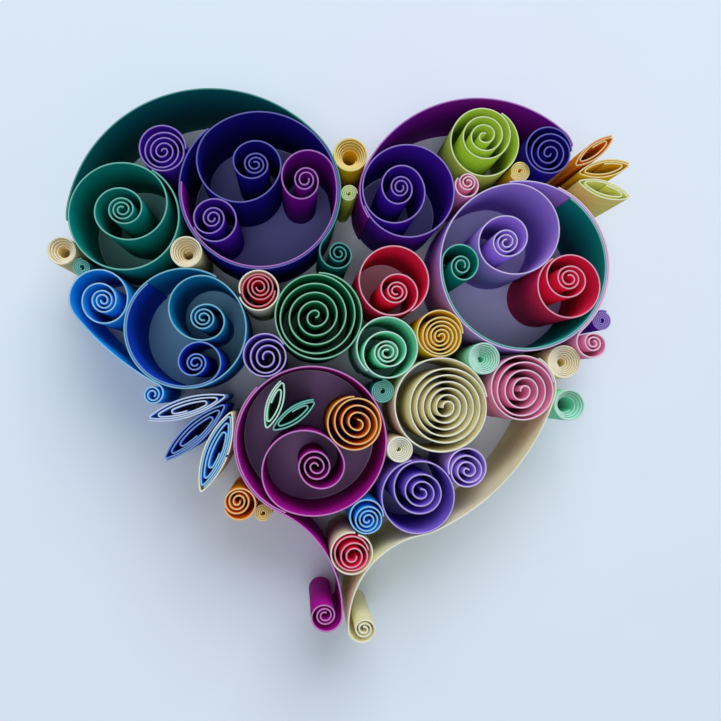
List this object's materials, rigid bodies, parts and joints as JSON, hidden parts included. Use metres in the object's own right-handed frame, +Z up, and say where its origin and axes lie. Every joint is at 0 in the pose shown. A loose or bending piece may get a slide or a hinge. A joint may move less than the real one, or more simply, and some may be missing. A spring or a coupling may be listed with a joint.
{
  "type": "quilled paper heart",
  "caption": "Heart built from coloured paper strips, rolled into scrolls, coils and leaves, standing on edge and glued to a square white mount card",
  "frame": {"origin": "middle of the card's back face", "axes": "+Z up out of the card towards the viewer, +Y from the heart's tip to its lobes, +X to the right seen from above"},
  "size_m": [0.14, 0.14, 0.0195],
  "materials": {
    "mount_card": "smooth white mount card",
    "azure_paper": "matt coloured paper",
    "cobalt_paper": "matt coloured paper",
    "cream_paper": "matt coloured paper",
    "deep_teal_paper": "matt coloured paper",
    "green_paper": "matt coloured paper",
    "indigo_paper": "matt coloured paper",
    "ivory_paper": "matt coloured paper",
    "lavender_paper": "matt coloured paper",
    "lemon_paper": "matt coloured paper",
    "lilac_paper": "matt coloured paper",
    "lime_paper": "matt coloured paper",
    "magenta_paper": "matt coloured paper",
    "mint_paper": "matt coloured paper",
    "orange_paper": "matt coloured paper",
    "pink_paper": "matt coloured paper",
    "plum_paper": "matt coloured paper",
    "red_paper": "matt coloured paper",
    "rose_paper": "matt coloured paper",
    "sky_paper": "matt coloured paper",
    "teal_paper": "matt coloured paper",
    "turquoise_paper": "matt coloured paper",
    "violet_paper": "matt coloured paper",
    "yellow_paper": "matt coloured paper"
  },
  "bodies": {
    "root": {"azure_flank_scroll": "azure_paper", "azure_gap_coil": "azure_paper", "azure_leaf": "azure_paper", "backing_card": "mount_card", "cobalt_leaf": "cobalt_paper", "cobalt_lining_scroll": "cobalt_paper", "cream_cup": "cream_paper", "cream_edge_cup": "cream_paper", "cream_flank_cup": "cream_paper", "deep_teal_outer_sweep": "deep_teal_paper", "green_loose_coil": "green_paper", "indigo_loose_coil": "indigo_paper", "indigo_ring_scroll": "indigo_paper", "ivory_flank_sweep": "ivory_paper", "ivory_gap_cup": "ivory_paper", "ivory_leaf_rim": "ivory_paper", "ivory_loose_coil": "ivory_paper", "ivory_red_rim": "ivory_paper", "ivory_tip_rim": "ivory_paper", "lavender_gap_coil": "lavender_paper", "lavender_open_scroll": "lavender_paper", "lemon_leaf": "lemon_paper", "lilac_loose_coil": "lilac_paper", "lilac_ring_scroll": "lilac_paper", "lime_cleft_bead": "lime_paper", "lime_loose_coil": "lime_paper", "magenta_flank_sweep": "magenta_paper", "magenta_ring_scroll": "magenta_paper", "mint_cup": "mint_paper", "mint_flank_cup": "mint_paper", "mint_leaf": "mint_paper", "mint_open_scroll": "mint_paper", "orange_edge_coil": "orange_paper", "orange_leaf": "orange_paper", "orange_loose_coil": "orange_paper", "pink_gap_coil": "pink_paper", "pink_loose_coil": "pink_paper", "pink_outer_sweep": "pink_paper", "plum_lining_scroll": "plum_paper", "plum_outer_sweep": "plum_paper", "red_core_coil": "red_paper", "rose_nested_scroll": "rose_paper", "rose_open_scroll": "rose_paper", "rose_tip_coil": "rose_paper", "sky_leaf": "sky_paper", "teal_edge_bead": "teal_paper", "teal_gap_bead": "teal_paper", "teal_leaf": "teal_paper", "teal_lining_scroll": "teal_paper", "teal_open_scroll": "teal_paper", "turquoise_ring_scroll": "turquoise_paper", "violet_edge_bead": "violet_paper", "violet_nested_scroll": "violet_paper", "violet_open_scroll": "violet_paper", "violet_top_coil": "violet_paper", "yellow_cleft_cup": "yellow_paper", "yellow_edge_bead": "yellow_paper", "yellow_gap_bead": "yellow_paper", "yellow_gap_coil": "yellow_paper", "yellow_leaf": "yellow_paper"}
  },
  "joints": []
}
